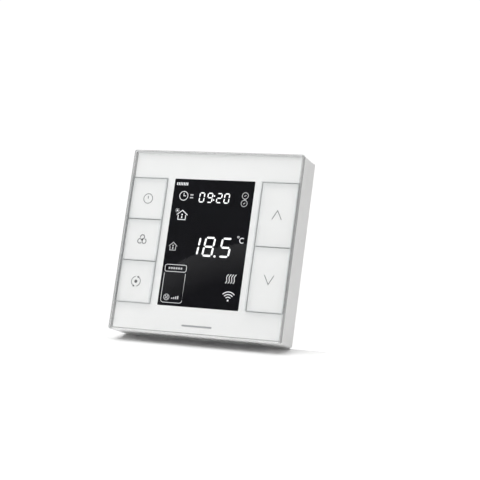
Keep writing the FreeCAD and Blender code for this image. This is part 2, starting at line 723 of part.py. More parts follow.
def retaining_clips():
    """Bent spring-steel clips that bite behind the ribs of the skirt."""
    z_leaf = SKIRT_IN - CLIP_STANDOFF
    z_nose = SKIRT_IN - SNAP_RIB_H + CLIP_BITE
    y_foot = Y_SEAT
    y_nose = -SNAP_RIB_LIFT - SNAP_RIB_T - 0.75
    y_tip = y_foot - CLIP_REACH
    t = CLIP_T
    outline = (
        (y_foot, z_leaf - CLIP_FOOT),
        (y_foot, z_leaf),
        (y_nose + 1.0, z_leaf),
        (y_nose + 0.25, z_nose),
        (y_nose - 0.25, z_nose),
        (y_tip, z_leaf - 0.3),
        (y_tip, z_leaf - t - 0.3),
        (y_nose - 0.1, z_nose - t),
        (y_nose + 0.1, z_nose - t),
        (y_nose + 1.0 - 0.1, z_leaf - t),
        (y_foot - t, z_leaf - t),
        (y_foot - t, z_leaf - CLIP_FOOT),
    )
    clips = []
    for x in (-CLIP_X, CLIP_X):
        clip = prism_x(outline, x - CLIP_W / 2, x + CLIP_W / 2)
        clips.append(clip)
        clips.append(clip.mirror(V(0, 0, 0), V(0, 0, 1)))
    return joined(clips)


def box_cover():
    cover = chamfered_box(BOX_HALF, BOX_CHAMFER, Y_LID, IN_WALL)
    cover = cover.cut(terminal_window(Y_LID - 1, IN_WALL + 1))
    for x, z in COVER_SCREWS:
        cover = cover.cut(rod(SCREW_R + SCREW_PLAY, Y_LID - 1, IN_WALL + 1, x, z))
        cover = cover.cut(rod(SCREW_HEAD_R + 0.2, IN_WALL - SCREW_HEAD_H, IN_WALL + 1, x, z))
    return cover


def cover_screws():
    seat = IN_WALL - SCREW_HEAD_H
    return joined([cross_head_screw(x, z, seat, COVER_SCREW_L) for x, z in COVER_SCREWS])


def power_board():
    half = BOX_IN - POWER_BOARD_PLAY
    board = block(-half, half, Y_POWER, Y_POWER_BACK, -half, half)
    notch = POST_SIDE + 2 * POWER_BOARD_PLAY
    for x, z in COVER_SCREWS:
        board = board.cut(on_board(notch, notch, 0, IN_WALL, (x, z)))
    for x in link_places():
        board = board.cut(on_board(PIN_SIDE, PIN_SIDE, 0, IN_WALL, (x, LINK_Z)))
    return board


def transformer():
    top = Y_POWER - BOBBIN_T
    core = on_board(CORE_W, CORE_L, Y_POWER - CORE_FOOT - CORE_H, Y_POWER - CORE_FOOT, TRANSFORMER_AT)
    winding = on_board(WINDING_W, WINDING_L, top - WINDING_H, top, TRANSFORMER_AT)
    bobbin = on_board(BOBBIN_W, BOBBIN_L, top, Y_POWER, TRANSFORMER_AT)
    return core.multiFuse([winding, bobbin])


def relay():
    x, z = RELAY_AT
    body = slab(RELAY_W / 2, RELAY_L / 2, 0.6, Y_POWER - RELAY_H, Y_POWER, x, z)
    return body.makeFillet(0.4, edges_at(body, Y_POWER - RELAY_H))


def fuse_link():
    x, z = FUSE_AT
    y = Y_POWER - FUSE_LIFT
    along = V(1, 0, 0)
    tube = Part.makeCylinder(FUSE_R, FUSE_L, V(x - FUSE_L / 2, y, z), along)
    ends = []
    for side in (-1, 1):
        cap_x = x + side * FUSE_L / 2
        ends.append(Part.makeCylinder(FUSE_CAP_R, FUSE_CAP_L, V(cap_x - FUSE_CAP_L / 2, y, z), along))
        ends.append(on_board(1.0, 0.8, y, Y_POWER, (cap_x, z)))
    return tube.multiFuse(ends)


def varistor():
    x, z = VARISTOR_AT
    centre = V(x - VARISTOR_T / 2, Y_POWER - VARISTOR_LIFT, z)
    disc = Part.makeCylinder(VARISTOR_R, VARISTOR_T, centre, V(1, 0, 0))
    return disc.fuse(on_board(VARISTOR_T * 0.5, VARISTOR_R, Y_POWER - 2, Y_POWER, VARISTOR_AT))


def capacitors():
    """Two electrolytic capacitors and a film capacitor."""
    parts = []
    for x, z, r, h in CANS:
        can = rod(r, Y_POWER - h, Y_POWER, x, z)
        parts.append(can.makeFillet(0.5, edges_at(can, Y_POWER - h)))
    x, z = FILM_AT
    parts.append(slab(FILM_W / 2, FILM_L / 2, 0.5, Y_POWER - FILM_H, Y_POWER, x, z))
    return joined(parts)


def link_header():
    return link_strip(Y_POWER - HEADER_H, Y_POWER, PIN_SIDE, 0)


def link_pins():
    y0 = Y_BOARD + PIN_TIP_GAP
    y1 = Y_POWER_BACK + PIN_TAIL
    return joined([on_board(PIN_SIDE, PIN_SIDE, y0, y1, (x, LINK_Z)) for x in link_places()])


def pole_places():
    return [(i - (POLES - 1) / 2) * POLE_PITCH for i in range(POLES)]


def terminal_block():
    """Moulded block: for each pole a screw hole at the back and a wire entry below."""
    body = block(-BLOCK_HX, BLOCK_HX, Y_POWER_BACK, Y_BLOCK_BACK, BLOCK_LOW, BLOCK_TOP)
    side = CLAMP_SIDE + 2 * CLAMP_PLAY
    y0 = Y_CLAMP_BACK - CLAMP_H - CLAMP_PLAY
    entry_y1 = Y_CLAMP_BACK - CLAMP_TOP_T - 0.4
    for x in pole_places():
        cage = on_board(side, side, y0, Y_CLAMP_BACK + CLAMP_PLAY, (x, CLAMP_Z))
        entry = block(x - ENTRY_W / 2, x + ENTRY_W / 2, y0 + CLAMP_WALL, entry_y1, BLOCK_LOW - 1, CLAMP_Z)
        screw = rod(TERMINAL_SCREW_R + SCREW_PLAY, Y_CLAMP_BACK - 1, Y_BLOCK_BACK + 1, x, CLAMP_Z)
        body = body.cut(cage.multiFuse([entry, screw]))
    return body


def terminal_clamps():
    """Square metal cages, open downwards for the wire and threaded for the screw."""
    y0 = Y_CLAMP_BACK - CLAMP_H
    inner = CLAMP_SIDE - 2 * CLAMP_WALL
    cages = []
    for x in pole_places():
        cage = on_board(CLAMP_SIDE, CLAMP_SIDE, y0, Y_CLAMP_BACK, (x, CLAMP_Z))
        bay = on_board(inner, CLAMP_SIDE + 2, y0 + CLAMP_WALL, Y_CLAMP_BACK - CLAMP_TOP_T, (x, CLAMP_Z))
        cages.append(cage.cut(bay).cut(rod(TERMINAL_SHANK_R, y0 + 1, Y_CLAMP_BACK + 1, x, CLAMP_Z)))
    return joined(cages)


def terminal_screws():
    top = Y_BLOCK_BACK - TERMINAL_SUNK
    seat = top - TERMINAL_HEAD_H
    screws = []
    for x in pole_places():
        head = rod(TERMINAL_SCREW_R, seat, top, x, CLAMP_Z)
        screw = head.fuse(rod(TERMINAL_SHANK_R, seat - TERMINAL_SHANK_L, seat, x, CLAMP_Z))
        groove_y = top - TERMINAL_SLOT_D
        groove = on_board(TERMINAL_SCREW_R * 2 + 1, TERMINAL_SLOT_W, groove_y, top + 1, (x, CLAMP_Z))
        screws.append(screw.cut(groove))
    return joined(screws)


PARTS = {
    "face_panel": face_panel,
    "face_print": face_print,
    "front_housing": front_housing,
    "lcd_glass": lcd_glass,
    "lcd_polarisers": lcd_polarisers,
    "lcd_backlight": lcd_backlight,
    "lcd_contact_strip": lcd_contact_strip,
    "lcd_frame": lcd_frame,
    "control_board": control_board,
    "board_screws": board_screws,
    "switch_bodies": switch_bodies,
    "switch_plates": switch_plates,
    "controller_chip": controller_chip,
    "radio_module": radio_module,
    "crystal": crystal,
    "backup_cell": backup_cell,
    "cell_holder": cell_holder,
    "small_parts": small_parts,
    "temperature_sensor": temperature_sensor,
    "link_socket": link_socket,
    "base_plate": base_plate,
    "in_wall_box": in_wall_box,
    "retaining_clips": retaining_clips,
    "box_cover": box_cover,
    "cover_screws": cover_screws,
    "power_board": power_board,
    "transformer": transformer,
    "relay": relay,
    "fuse_link": fuse_link,
    "varistor": varistor,
    "capacitors": capacitors,
    "link_header": link_header,
    "link_pins": link_pins,
    "terminal_block": terminal_block,
    "terminal_clamps": terminal_clamps,
    "terminal_screws": terminal_screws,
}


def save(name, shape):
    shape.exportStep(os.path.join("parts", name + ".step"))
    print(name, len(shape.Solids), "solids", round(shape.Volume, 2), "mm3", shape.isValid())


def main():
    os.makedirs("parts", exist_ok=True)
    for name, make in PARTS.items():
        save(name, make())
    for name, side, z, half in keys():
        save("key_" + name + "_cap", key_cap(side, z, half))
        save("key_" + name + "_carrier", key_carrier(side, z, half))
        save("key_" + name + "_plunger", switch_plunger(side, z))


main()
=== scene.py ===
"""Looks of the square wall thermostat: materials, display, key symbols, light and camera.

Places on the object are millimetres in its own frame (X right, Z up, front towards -Y) and become
metres in mesh code. The camera, the lights and the paper are placed in metres.
"""

import math
from collections import namedtuple

import bmesh
import bpy
from mathutils import Matrix, Vector


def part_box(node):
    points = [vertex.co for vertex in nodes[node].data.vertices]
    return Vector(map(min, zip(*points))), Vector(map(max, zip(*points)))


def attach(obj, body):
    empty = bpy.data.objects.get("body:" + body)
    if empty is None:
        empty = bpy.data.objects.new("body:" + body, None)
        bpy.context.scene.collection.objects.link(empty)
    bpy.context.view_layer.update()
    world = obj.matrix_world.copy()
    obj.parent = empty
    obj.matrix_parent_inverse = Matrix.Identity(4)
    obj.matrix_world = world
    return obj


MM = 0.001

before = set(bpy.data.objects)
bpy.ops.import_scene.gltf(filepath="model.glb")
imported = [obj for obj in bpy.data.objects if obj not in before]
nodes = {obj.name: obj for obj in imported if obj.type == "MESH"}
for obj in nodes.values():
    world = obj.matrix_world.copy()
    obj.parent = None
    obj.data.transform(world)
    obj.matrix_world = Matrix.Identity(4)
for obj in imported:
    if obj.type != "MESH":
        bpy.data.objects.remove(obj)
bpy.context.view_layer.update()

# ---- Places taken from the frame, in millimetres ----


def corners_mm(node):
    low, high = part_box(node)
    return [v / MM for v in low], [v / MM for v in high]


PANEL_LOW, PANEL_HIGH = corners_mm("face_panel")
BLOCK_LOW, BLOCK_HIGH = corners_mm("terminal_block")
BASE_LOW, BASE_HIGH = corners_mm("base_plate")

Y_FACE = PANEL_LOW[1]                # front of the clear panel
Y_PRINT = PANEL_HIGH[1]              # back of the clear panel, where the white print starts
Y_LCD = corners_mm("lcd_polarisers")[0][1]      # front of the display's polariser
Y_COVER = corners_mm("box_cover")[1][1]         # back of the cover on the in-wall box
PRINT_HALF = corners_mm("face_print")[1][0]
INK = 0.03                           # thickness of printed marks
LCD_INK_Y = Y_LCD - INK - 0.01       # just in front of the polariser
CAP_INK_Y = Y_PRINT - INK - 0.005    # just inside the clear panel and key caps
PRINT_DRAWN_IN = 0.02                # how far the white print is drawn in

# ---- Camera: the photograph's viewpoint ----
CAMERA_AT = (0.2578, -0.5627, -0.1055)
CAMERA_TURN = math.radians(23.75)    # to the left of +Y
CAMERA_RISE = math.radians(10.22)    # above the horizontal
CAMERA_ROLL = math.radians(7.76)
CAMERA_LENS = 100.9
SENSOR = 36.0

# ---- Mesh helpers ----


def finish_piece(name, bm, body, material):
    """A mesh piece of the object from millimetre bmesh data."""
    bmesh.ops.recalc_face_normals(bm, faces=bm.faces)
    bmesh.ops.scale(bm, vec=(MM, MM, MM), verts=bm.verts)
    mesh = bpy.data.meshes.new(name)
    bm.to_mesh(mesh)
    bm.free()
    mesh.materials.append(material)
    piece = bpy.data.objects.new(name, mesh)
    bpy.context.scene.collection.objects.link(piece)
    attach(piece, body)
    return piece


def add_plate(bm, outline, y0, y1):
    """A flat closed plate with an outline of (x, z) points."""
    front = [bm.verts.new((x, y0, z)) for x, z in outline]
    back = [bm.verts.new((x, y1, z)) for x, z in outline]
    bm.faces.new(front)
    bm.faces.new(reversed(back))
    count = len(outline)
    for i in range(count):
        j = (i + 1) % count
        bm.faces.new((front[i], back[i], back[j], front[j]))


def add_stroke(bm, points, width, y0, y1, closed=False):
    """A drawn line of the given width through (x, z) points, as a closed strip."""
    count = len(points)
    rows = []
    for i, (x, z) in enumerate(points):
        before = points[i - 1] if closed or i else points[i]
        after = points[(i + 1) % count] if closed or i < count - 1 else points[i]
        ahead = Vector((after[0] - x, after[1] - z))
        behind = Vector((x - before[0], z - before[1]))
        ahead = ahead.normalized() if ahead.length else behind.normalized()
        behind = behind.normalized() if behind.length else ahead
        along = (ahead + behind).normalized()
        side = Vector((-along.y, along.x))
        reach = width / 2 / max(0.5, side.dot(Vector((-ahead.y, ahead.x))))
        row = []
        for sign in (1, -1):
            for y in (y0, y1):
                row.append(bm.verts.new((x + sign * reach * side.x, y, z + sign * reach * side.y)))
        rows.append(row)
    last = count if closed else count - 1
    for i in range(last):
        a, b = rows[i], rows[(i + 1) % count]
        for p, q in ((0, 1), (1, 3), (3, 2), (2, 0)):
            bm.faces.new((a[p], a[q], b[q], b[p]))
    if not closed:
        for row in (rows[0], rows[-1]):
            bm.faces.new((row[0], row[1], row[3], row[2]))


def arc(x, z, radius, start, end, steps=24):
    """Points along an arc, with angles in degrees from +X towards +Z."""
    turn = [math.radians(start + (end - start) * i / steps) for i in range(steps + 1)]
    return [(x + radius * math.cos(a), z + radius * math.sin(a)) for a in turn]


def ring(x, z, radius, steps=32):
    """Points round a whole circle."""
    return arc(x, z, radius, 0, 360, steps)[:-1]


def rounded_box(x0, x1, z0, z1, radius):
    """Points round a box with rounded corners."""
    points = []
    places = ((x1 - radius, z1 - radius, 0), (x0 + radius, z1 - radius, 90),
              (x0 + radius, z0 + radius, 180), (x1 - radius, z0 + radius, 270))
    for x, z, start in places:
        points += arc(x, z, radius, start, start + 90, 5)
    return points


class Marks:
    """Collects plates and strokes that lie at one depth and become one piece."""

    def __init__(self, y):
        self.bm = bmesh.new()
        self.y = y

    def plate(self, outline):
        add_plate(self.bm, outline, self.y, self.y + INK)

    def line(self, points, width, closed=False):
        add_stroke(self.bm, points, width, self.y, self.y + INK, closed)

    def piece(self, name, body, slot, material):
        return finish_piece(name, self.bm, body, material)


# ---- Material helpers ----


WHITE = (1.0, 1.0, 1.0, 1.0)
NOISE_LOW, NOISE_HIGH = 0.3, 0.7     # the range that noise mostly keeps to


class Nodes:
    """Short names for building one node tree."""

    def __init__(self, tree):
        self.tree = tree
        self.tree.nodes.clear()

    def node(self, kind, **settings):
        made = self.tree.nodes.new(kind)
        for key, value in settings.items():
            setattr(made, key, value)
        return made

    def join(self, source, socket):
        self.tree.links.new(source, socket)

    def feed(self, socket, value):
        if isinstance(value, bpy.types.NodeSocket):
            self.join(value, socket)
        else:
            socket.default_value = value

    def span(self, value, low, high, to_low=0.0, to_high=1.0, **settings):
        """A value's stretch from low to high, carried over to the stretch from to_low to to_high."""
        made = self.node("ShaderNodeMapRange", **settings)
        for key, number in (("From Min", low), ("From Max", high), ("To Min", to_low), ("To Max", to_high)):
            made.inputs[key].default_value = number
        self.feed(made.inputs["Value"], value)
        return made.outputs["Result"]

    def math(self, operation, a, b=0.0):
        made = self.node("ShaderNodeMath", operation=operation)
        self.feed(made.inputs[0], a)
        self.feed(made.inputs[1], b)
        return made.outputs["Value"]

    def parts_of(self, vector):
        """The X, Y and Z of a vector."""
        made = self.node("ShaderNodeSeparateXYZ")
        self.join(vector, made.inputs["Vector"])
        return made.outputs

    def blend(self, factor, first, second):
        """The first shader, giving way to the second as the factor rises."""
        made = self.node("ShaderNodeMixShader")
        self.join(factor, made.inputs["Fac"])
        self.join(first, made.inputs[1])
        self.join(second, made.inputs[2])
        return made.outputs["Shader"]


class Paint(Nodes):
    """Short names for building one node material."""

    def __init__(self, name):
        self.material = bpy.data.materials.new(name)
        self.material.use_nodes = True
        super().__init__(self.material.node_tree)
        self.output = self.node("ShaderNodeOutputMaterial")
        self.place = self.node("ShaderNodeTexCoord").outputs["Object"]

    def noise(self, scale, detail=3.0, roughness=0.55, place=None):
        made = self.node("ShaderNodeTexNoise")
        made.inputs["Scale"].default_value = scale
        made.inputs["Detail"].default_value = detail
        made.inputs["Roughness"].default_value = roughness
        self.join(place or self.place, made.inputs["Vector"])
        return made.outputs["Fac"]

    def scaled_place(self, x, y, z):
        made = self.node("ShaderNodeMapping")
        made.inputs["Scale"].default_value = (x, y, z)
        self.join(self.place, made.inputs["Vector"])
        return made.outputs["Vector"]

    def by_noise(self, noise, low, high):
        """A value that follows a noise from low to high."""
        return self.span(noise, NOISE_LOW, NOISE_HIGH, low, high)

    def mix(self, factor, a, b):
        made = self.node("ShaderNodeMix", data_type="RGBA")
        self.feed(made.inputs["Factor"], factor)
        self.feed(made.inputs["A"], a)
        self.feed(made.inputs["B"], b)
        return made.outputs["Result"]

    def axes(self):
        return self.parts_of(self.place)

    def vector(self, x, y):
        made = self.node("ShaderNodeCombineXYZ")
        self.join(x, made.inputs["X"])
        self.join(y, made.inputs["Y"])
        return made.outputs["Vector"]

    def transparent(self, colour):
        made = self.node("ShaderNodeBsdfTransparent")
        made.inputs["Color"].default_value = colour
        return made.outputs["BSDF"]

    def glossy(self, roughness, **plain):
        made = self.node("ShaderNodeBsdfGlossy")
        self.join(roughness, made.inputs["Roughness"])
        for key, value in plain.items():
            made.inputs[key].default_value = value
        return made.outputs["BSDF"]

    def bump(self, height, strength, distance):
        """A normal from a height, with the depth in metres."""
        made = self.node("ShaderNodeBump")
        made.inputs["Strength"].default_value = strength
        made.inputs["Distance"].default_value = distance
        self.join(height, made.inputs["Height"])
        return made.outputs["Normal"]

    def principled(self, colour, roughness, normal=None, **plain):
        made = self.node("ShaderNodeBsdfPrincipled")
        self.feed(made.inputs["Base Color"], colour)
        self.feed(made.inputs["Roughness"], roughness)
        if normal is not None:
            self.join(normal, made.inputs["Normal"])
        for key, value in plain.items():
            made.inputs[key.replace("_", " ")].default_value = value
        return made.outputs["BSDF"]

    def shade(self, shader):
        self.join(shader, self.output.inputs["Surface"])
        return self.material


def grey(value, tint=WHITE):
    return (value * tint[0], value * tint[1], value * tint[2], 1.0)


def shade_of(colour, share):
    """A colour made darker, to a share of its brightness."""
    return tuple(c * share for c in colour[:3]) + (1.0,)


def moulded(name, colour, rough=0.42, grain=2600.0, depth=0.00002):
    """Moulded plastic: fine spark grain, slight shade drift and a roughness that follows the grain."""
    paint = Paint(name)
    fine = paint.noise(grain, 2.0)
    broad = paint.noise(60.0, 3.0)
    tone = paint.mix(broad, colour, shade_of(colour, 0.96))
    roughness = paint.by_noise(fine, rough - 0.05, rough + 0.07)
    return paint.shade(paint.principled(tone, roughness, paint.bump(fine, 0.35, depth)))


def brushed(name, colour, rough=0.3):
    """Plated or rolled metal with fine lines along X and faint clouding."""
    paint = Paint(name)
    lines = paint.noise(1.0, 4.0, 0.6, paint.scaled_place(40.0, 3000.0, 3000.0))
    cloud = paint.noise(220.0, 3.0)
    tone = paint.mix(cloud, colour, shade_of(colour, 0.78))
    roughness = paint.by_noise(lines, rough - 0.08, rough + 0.14)
    return paint.shade(paint.principled(tone, roughness, paint.bump(lines, 0.3, 0.00001), Metallic=1.0))


# ---- Materials of the front ----


FRONT_TINT = (1.0, 1.0, 0.995)
REAR_TINT = (1.0, 0.998, 0.985)
INK_TINT = (0.98, 1.0, 1.03)
PRINT_SHADE_LINE = 0.22                      # width of the painted shade line at the print's lower edge
PRINT_SHADE_WIDER = 0.16                     # more width of the painted shade line at the print's left edge
PRINT_SHADE_FADE = 0.1


def outermost(paint):
    """The larger of |x| and |z|: how near a point is to the square's edge."""
    axes = paint.axes()
    return paint.math("MAXIMUM", paint.math("ABSOLUTE", axes["X"]), paint.math("ABSOLUTE", axes["Z"]))


def sides_and_top(paint, narrower_top):
    """How near a point is to the side or upper edges, with a narrower stretch at the top."""
    axes = paint.axes()
    top = paint.math("SUBTRACT", axes["Z"], narrower_top * MM)
    return paint.math("MAXIMUM", paint.math("ABSOLUTE", axes["X"]), top)


def left_and_below(paint, wider_left):
    """How near a point is to the left or lower edge, with a wider stretch at the left."""
    axes = paint.axes()
    left = paint.math("SUBTRACT", wider_left * MM, axes["X"])
    return paint.math("MAXIMUM", left, paint.math("MULTIPLY", axes["Z"], -1.0))


BORDER_START = PRINT_HALF + 0.1      # where painted shade starts to grey the clear border
BORDER_FADE = 0.15                   # width over which the painted shade grows
BORDER_NARROWER = 0.45               # less of it at the top
BORDER_SHADE_SHARE = 0.4                    # share of painted shade in it
FRONT_DEPTH = 0.5                    # only faces this near to the panel's front mirror
EDGE_START = PRINT_HALF + 0.3        # cut sides farther out than this hide more of what is behind
EDGE_FADE = 0.2
EDGE_THIN, EDGE_FULL = 0.16, 0.55    # share of the sides' grey, with its painted shade and light, at the key windows and outside
LOWER_SIDE = PANEL_LOW[2] + 0.4      # the lower side is below this; it is painted paler, as painted light from the pale paper


def acrylic_front(paint, geometry, smudge):
    """The flat faces: clear, with painted shade greying the border at the sides and top, and mirroring by
    the angle at the front.
    """
    through = paint.transparent((0.99, 0.992, 0.992, 1.0))
    # painted shade: a grey layer over the clear border at the sides and top, standing in for shade at the
    # panel's edge
    painted_border_shade = paint.principled(paint.mix(smudge, grey(0.33), grey(0.28)), 0.4)
    near_edge = sides_and_top(paint, BORDER_NARROWER)
    border_end = (BORDER_START + BORDER_FADE) * MM
    border_shade_share = paint.span(near_edge, BORDER_START * MM, border_end, 0.0, BORDER_SHADE_SHARE)
    border = paint.blend(border_shade_share, through, painted_border_shade)

    deepest = (Y_FACE + FRONT_DEPTH) * MM
    at_front = paint.span(paint.axes()["Y"], deepest, deepest + 0.1 * MM, 1.0, 0.0)
    seen_outside = paint.math("MAXIMUM", paint.math("SUBTRACT", at_front, geometry.outputs["Backfacing"]))
    fresnel = paint.node("ShaderNodeFresnel")
    fresnel.inputs["IOR"].default_value = 1.49
    mirrored = paint.math("MULTIPLY", fresnel.outputs["Fac"], seen_outside)
    gloss = paint.glossy(paint.by_noise(smudge, 0.008, 0.02), Color=WHITE)
    return paint.blend(mirrored, border, gloss)


def acrylic_side(paint):
    """The cut sides: roughened by the saw; painted shade keeps the upper and side faces grey, and painted
    light from the pale paper makes the lower side paler.
    """
    saw = paint.noise(1.0, 3.0, 0.6, paint.scaled_place(500.0, 5000.0, 500.0))
    # painted shade: the upper and side cut faces are grey; painted light: the lower one, facing the pale
    # paper, is pale
    painted_shade_tone = paint.mix(saw, grey(0.50), grey(0.44))
    lower = paint.span(paint.axes()["Z"], LOWER_SIDE * MM, (LOWER_SIDE + 0.1) * MM, 1.0, 0.0)
    tone = paint.mix(lower, painted_shade_tone, grey(0.86))
    frosted_and_shaded = paint.principled(tone, paint.by_noise(saw, 0.22, 0.38))
    edge_end = (EDGE_START + EDGE_FADE) * MM
    share = paint.span(outermost(paint), EDGE_START * MM, edge_end, EDGE_THIN, EDGE_FULL)
    return paint.blend(share, paint.transparent((0.93, 0.945, 0.95, 1.0)), frosted_and_shaded)


def clear_acrylic():
    """Clear acrylic: a gloss front that shows the print, painted shade that greys the clear border, and cut
    sides with painted shade above and painted light below.
    """
    paint = Paint("clear_acrylic")
    geometry = paint.node("ShaderNodeNewGeometry")
    facing = paint.math("ABSOLUTE", paint.parts_of(geometry.outputs["True Normal"])["Y"])
    side = paint.span(facing, 0.55, 0.9, 1.0, 0.0)
    front = acrylic_front(paint, geometry, paint.noise(90.0, 4.0))
    return paint.shade(paint.blend(side, front, acrylic_side(paint)))


def white_print():
    """White ink on the back of the panel, with a painted shade line at its left and lower edges."""
    paint = Paint("white_print")
    broad = paint.noise(28.0, 2.0)
    fine = paint.noise(1800.0, 2.0)
    tone = paint.mix(broad, grey(0.905, FRONT_TINT), grey(0.88, FRONT_TINT))
    # painted shade: a dark line along the print's left and lower edges, standing in for shade at the
    # panel's edge
    print_shade_start = PRINT_HALF - PRINT_SHADE_LINE
    print_shade = paint.span(left_and_below(paint, PRINT_SHADE_WIDER), print_shade_start * MM, (print_shade_start + PRINT_SHADE_FADE) * MM)
    tone = paint.mix(print_shade, tone, grey(0.30))
    return paint.shade(paint.principled(tone, paint.by_noise(fine, 0.4, 0.5)))


def polariser():
    """The unlit display: near black, faintly blue, with a soft grain."""
    paint = Paint("polariser")
    grain = paint.noise(700.0, 3.0)
    tone = paint.mix(grain, (0.0065, 0.0066, 0.0085, 1.0), (0.0045, 0.0046, 0.0062, 1.0))
    return paint.shade(paint.principled(tone, paint.by_noise(grain, 0.45, 0.55), Specular_IOR_Level=0.0))


def lit_mark(name, level, tint=WHITE):
    """A display segment lit from behind, a little uneven like a real backlight."""
    paint = Paint(name)
    patch = paint.noise(240.0, 2.0)
    tone = paint.mix(patch, grey(level, tint), grey(level * 0.9, tint))
    shader = paint.principled(tone, 0.6, Emission_Strength=0.55)
    paint.join(tone, shader.node.inputs["Emission Color"])
    return paint.shade(shader)


def symbol_ink(name, level):
    """Screen-printed grey ink."""
    paint = Paint(name)
    screen = paint.noise(4200.0, 2.0)
    tone = paint.mix(screen, grey(level, INK_TINT), grey(level * 0.86, INK_TINT))
    return paint.shade(paint.principled(tone, paint.by_noise(screen, 0.45, 0.6)))


def glass(name, colour):
    """Clear glass seen only from inside the housing."""
    paint = Paint(name)
    gloss = paint.glossy(paint.by_noise(paint.noise(120.0, 2.0), 0.02, 0.05))
    layer = paint.node("ShaderNodeLayerWeight")
    layer.inputs["Blend"].default_value = 0.2
    return paint.shade(paint.blend(layer.outputs["Fresnel"], paint.transparent(colour), gloss))


# ---- Materials inside ----


def tracks(paint, place, offset, squash, frequency, row):
    """Straight copper tracks, from the joints of a brick pattern."""
    courses = paint.node("ShaderNodeTexBrick", offset=offset, squash=squash, squash_frequency=frequency)
    courses.inputs["Scale"].default_value = 95.0
    courses.inputs["Mortar Size"].default_value = 0.014
    courses.inputs["Row Height"].default_value = row
    paint.join(place, courses.inputs["Vector"])
    return courses.outputs["Fac"]


def circuit_board():
    """Green solder mask over straight copper tracks and round vias."""
    paint = Paint("board_green")
    weave = paint.noise(900.0, 3.0)
    axes = paint.axes()
    flat = paint.vector(axes["X"], axes["Z"])
    turned = paint.vector(axes["Z"], axes["X"])
    lines = paint.node("ShaderNodeMix", data_type="FLOAT")
    paint.join(paint.span(paint.noise(140.0, 1.0), 0.47, 0.49), lines.inputs["Factor"])
    paint.join(tracks(paint, flat, 0.37, 1.7, 3, 0.17), lines.inputs["A"])
    paint.join(tracks(paint, turned, 0.31, 1.4, 2, 0.13), lines.inputs["B"])
    vias = paint.node("ShaderNodeTexVoronoi", voronoi_dimensions="2D")
    vias.inputs["Scale"].default_value = 240.0
    paint.join(flat, vias.inputs["Vector"])
    via = paint.span(vias.outputs["Distance"], 0.10, 0.12, 1.0, 0.0)
    track = paint.math("MAXIMUM", lines.outputs["Result"], via)
    mask = paint.mix(weave, (0.012, 0.13, 0.045, 1.0), (0.009, 0.10, 0.035, 1.0))
    tone = paint.mix(track, mask, (0.03, 0.23, 0.08, 1.0))
    roughness = paint.by_noise(weave, 0.28, 0.4)
    return paint.shade(paint.principled(tone, roughness, paint.bump(track, 0.5, 0.00003)))


def wound_tape():
    """Yellow winding tape with wrap lines."""
    paint = Paint("transformer_yellow")
    wraps = paint.node("ShaderNodeTexWave", bands_direction="Z")
    wraps.inputs["Scale"].default_value = 380.0
    wraps.inputs["Distortion"].default_value = 0.6
    paint.join(paint.place, wraps.inputs["Vector"])
    tone = paint.mix(wraps.outputs["Fac"], (0.80, 0.62, 0.07, 1.0), (0.66, 0.49, 0.04, 1.0))
    roughness = paint.span(wraps.outputs["Fac"], 0.0, 1.0, 0.35, 0.5)
    return paint.shade(paint.principled(tone, roughness, paint.bump(wraps.outputs["Fac"], 0.4, 0.00003)))


def layered_rubber():
    """Elastomer strip: thin dark and pale layers."""
    paint = Paint("elastomer")
    layers = paint.node("ShaderNodeTexWave", bands_direction="X")
    layers.inputs["Scale"].default_value = 1600.0
    paint.join(paint.place, layers.inputs["Vector"])
    tone = paint.mix(layers.outputs["Fac"], (0.05, 0.05, 0.05, 1.0), (0.55, 0.50, 0.46, 1.0))
    return paint.shade(paint.principled(tone, paint.span(layers.outputs["Fac"], 0.0, 1.0, 0.6, 0.75)))


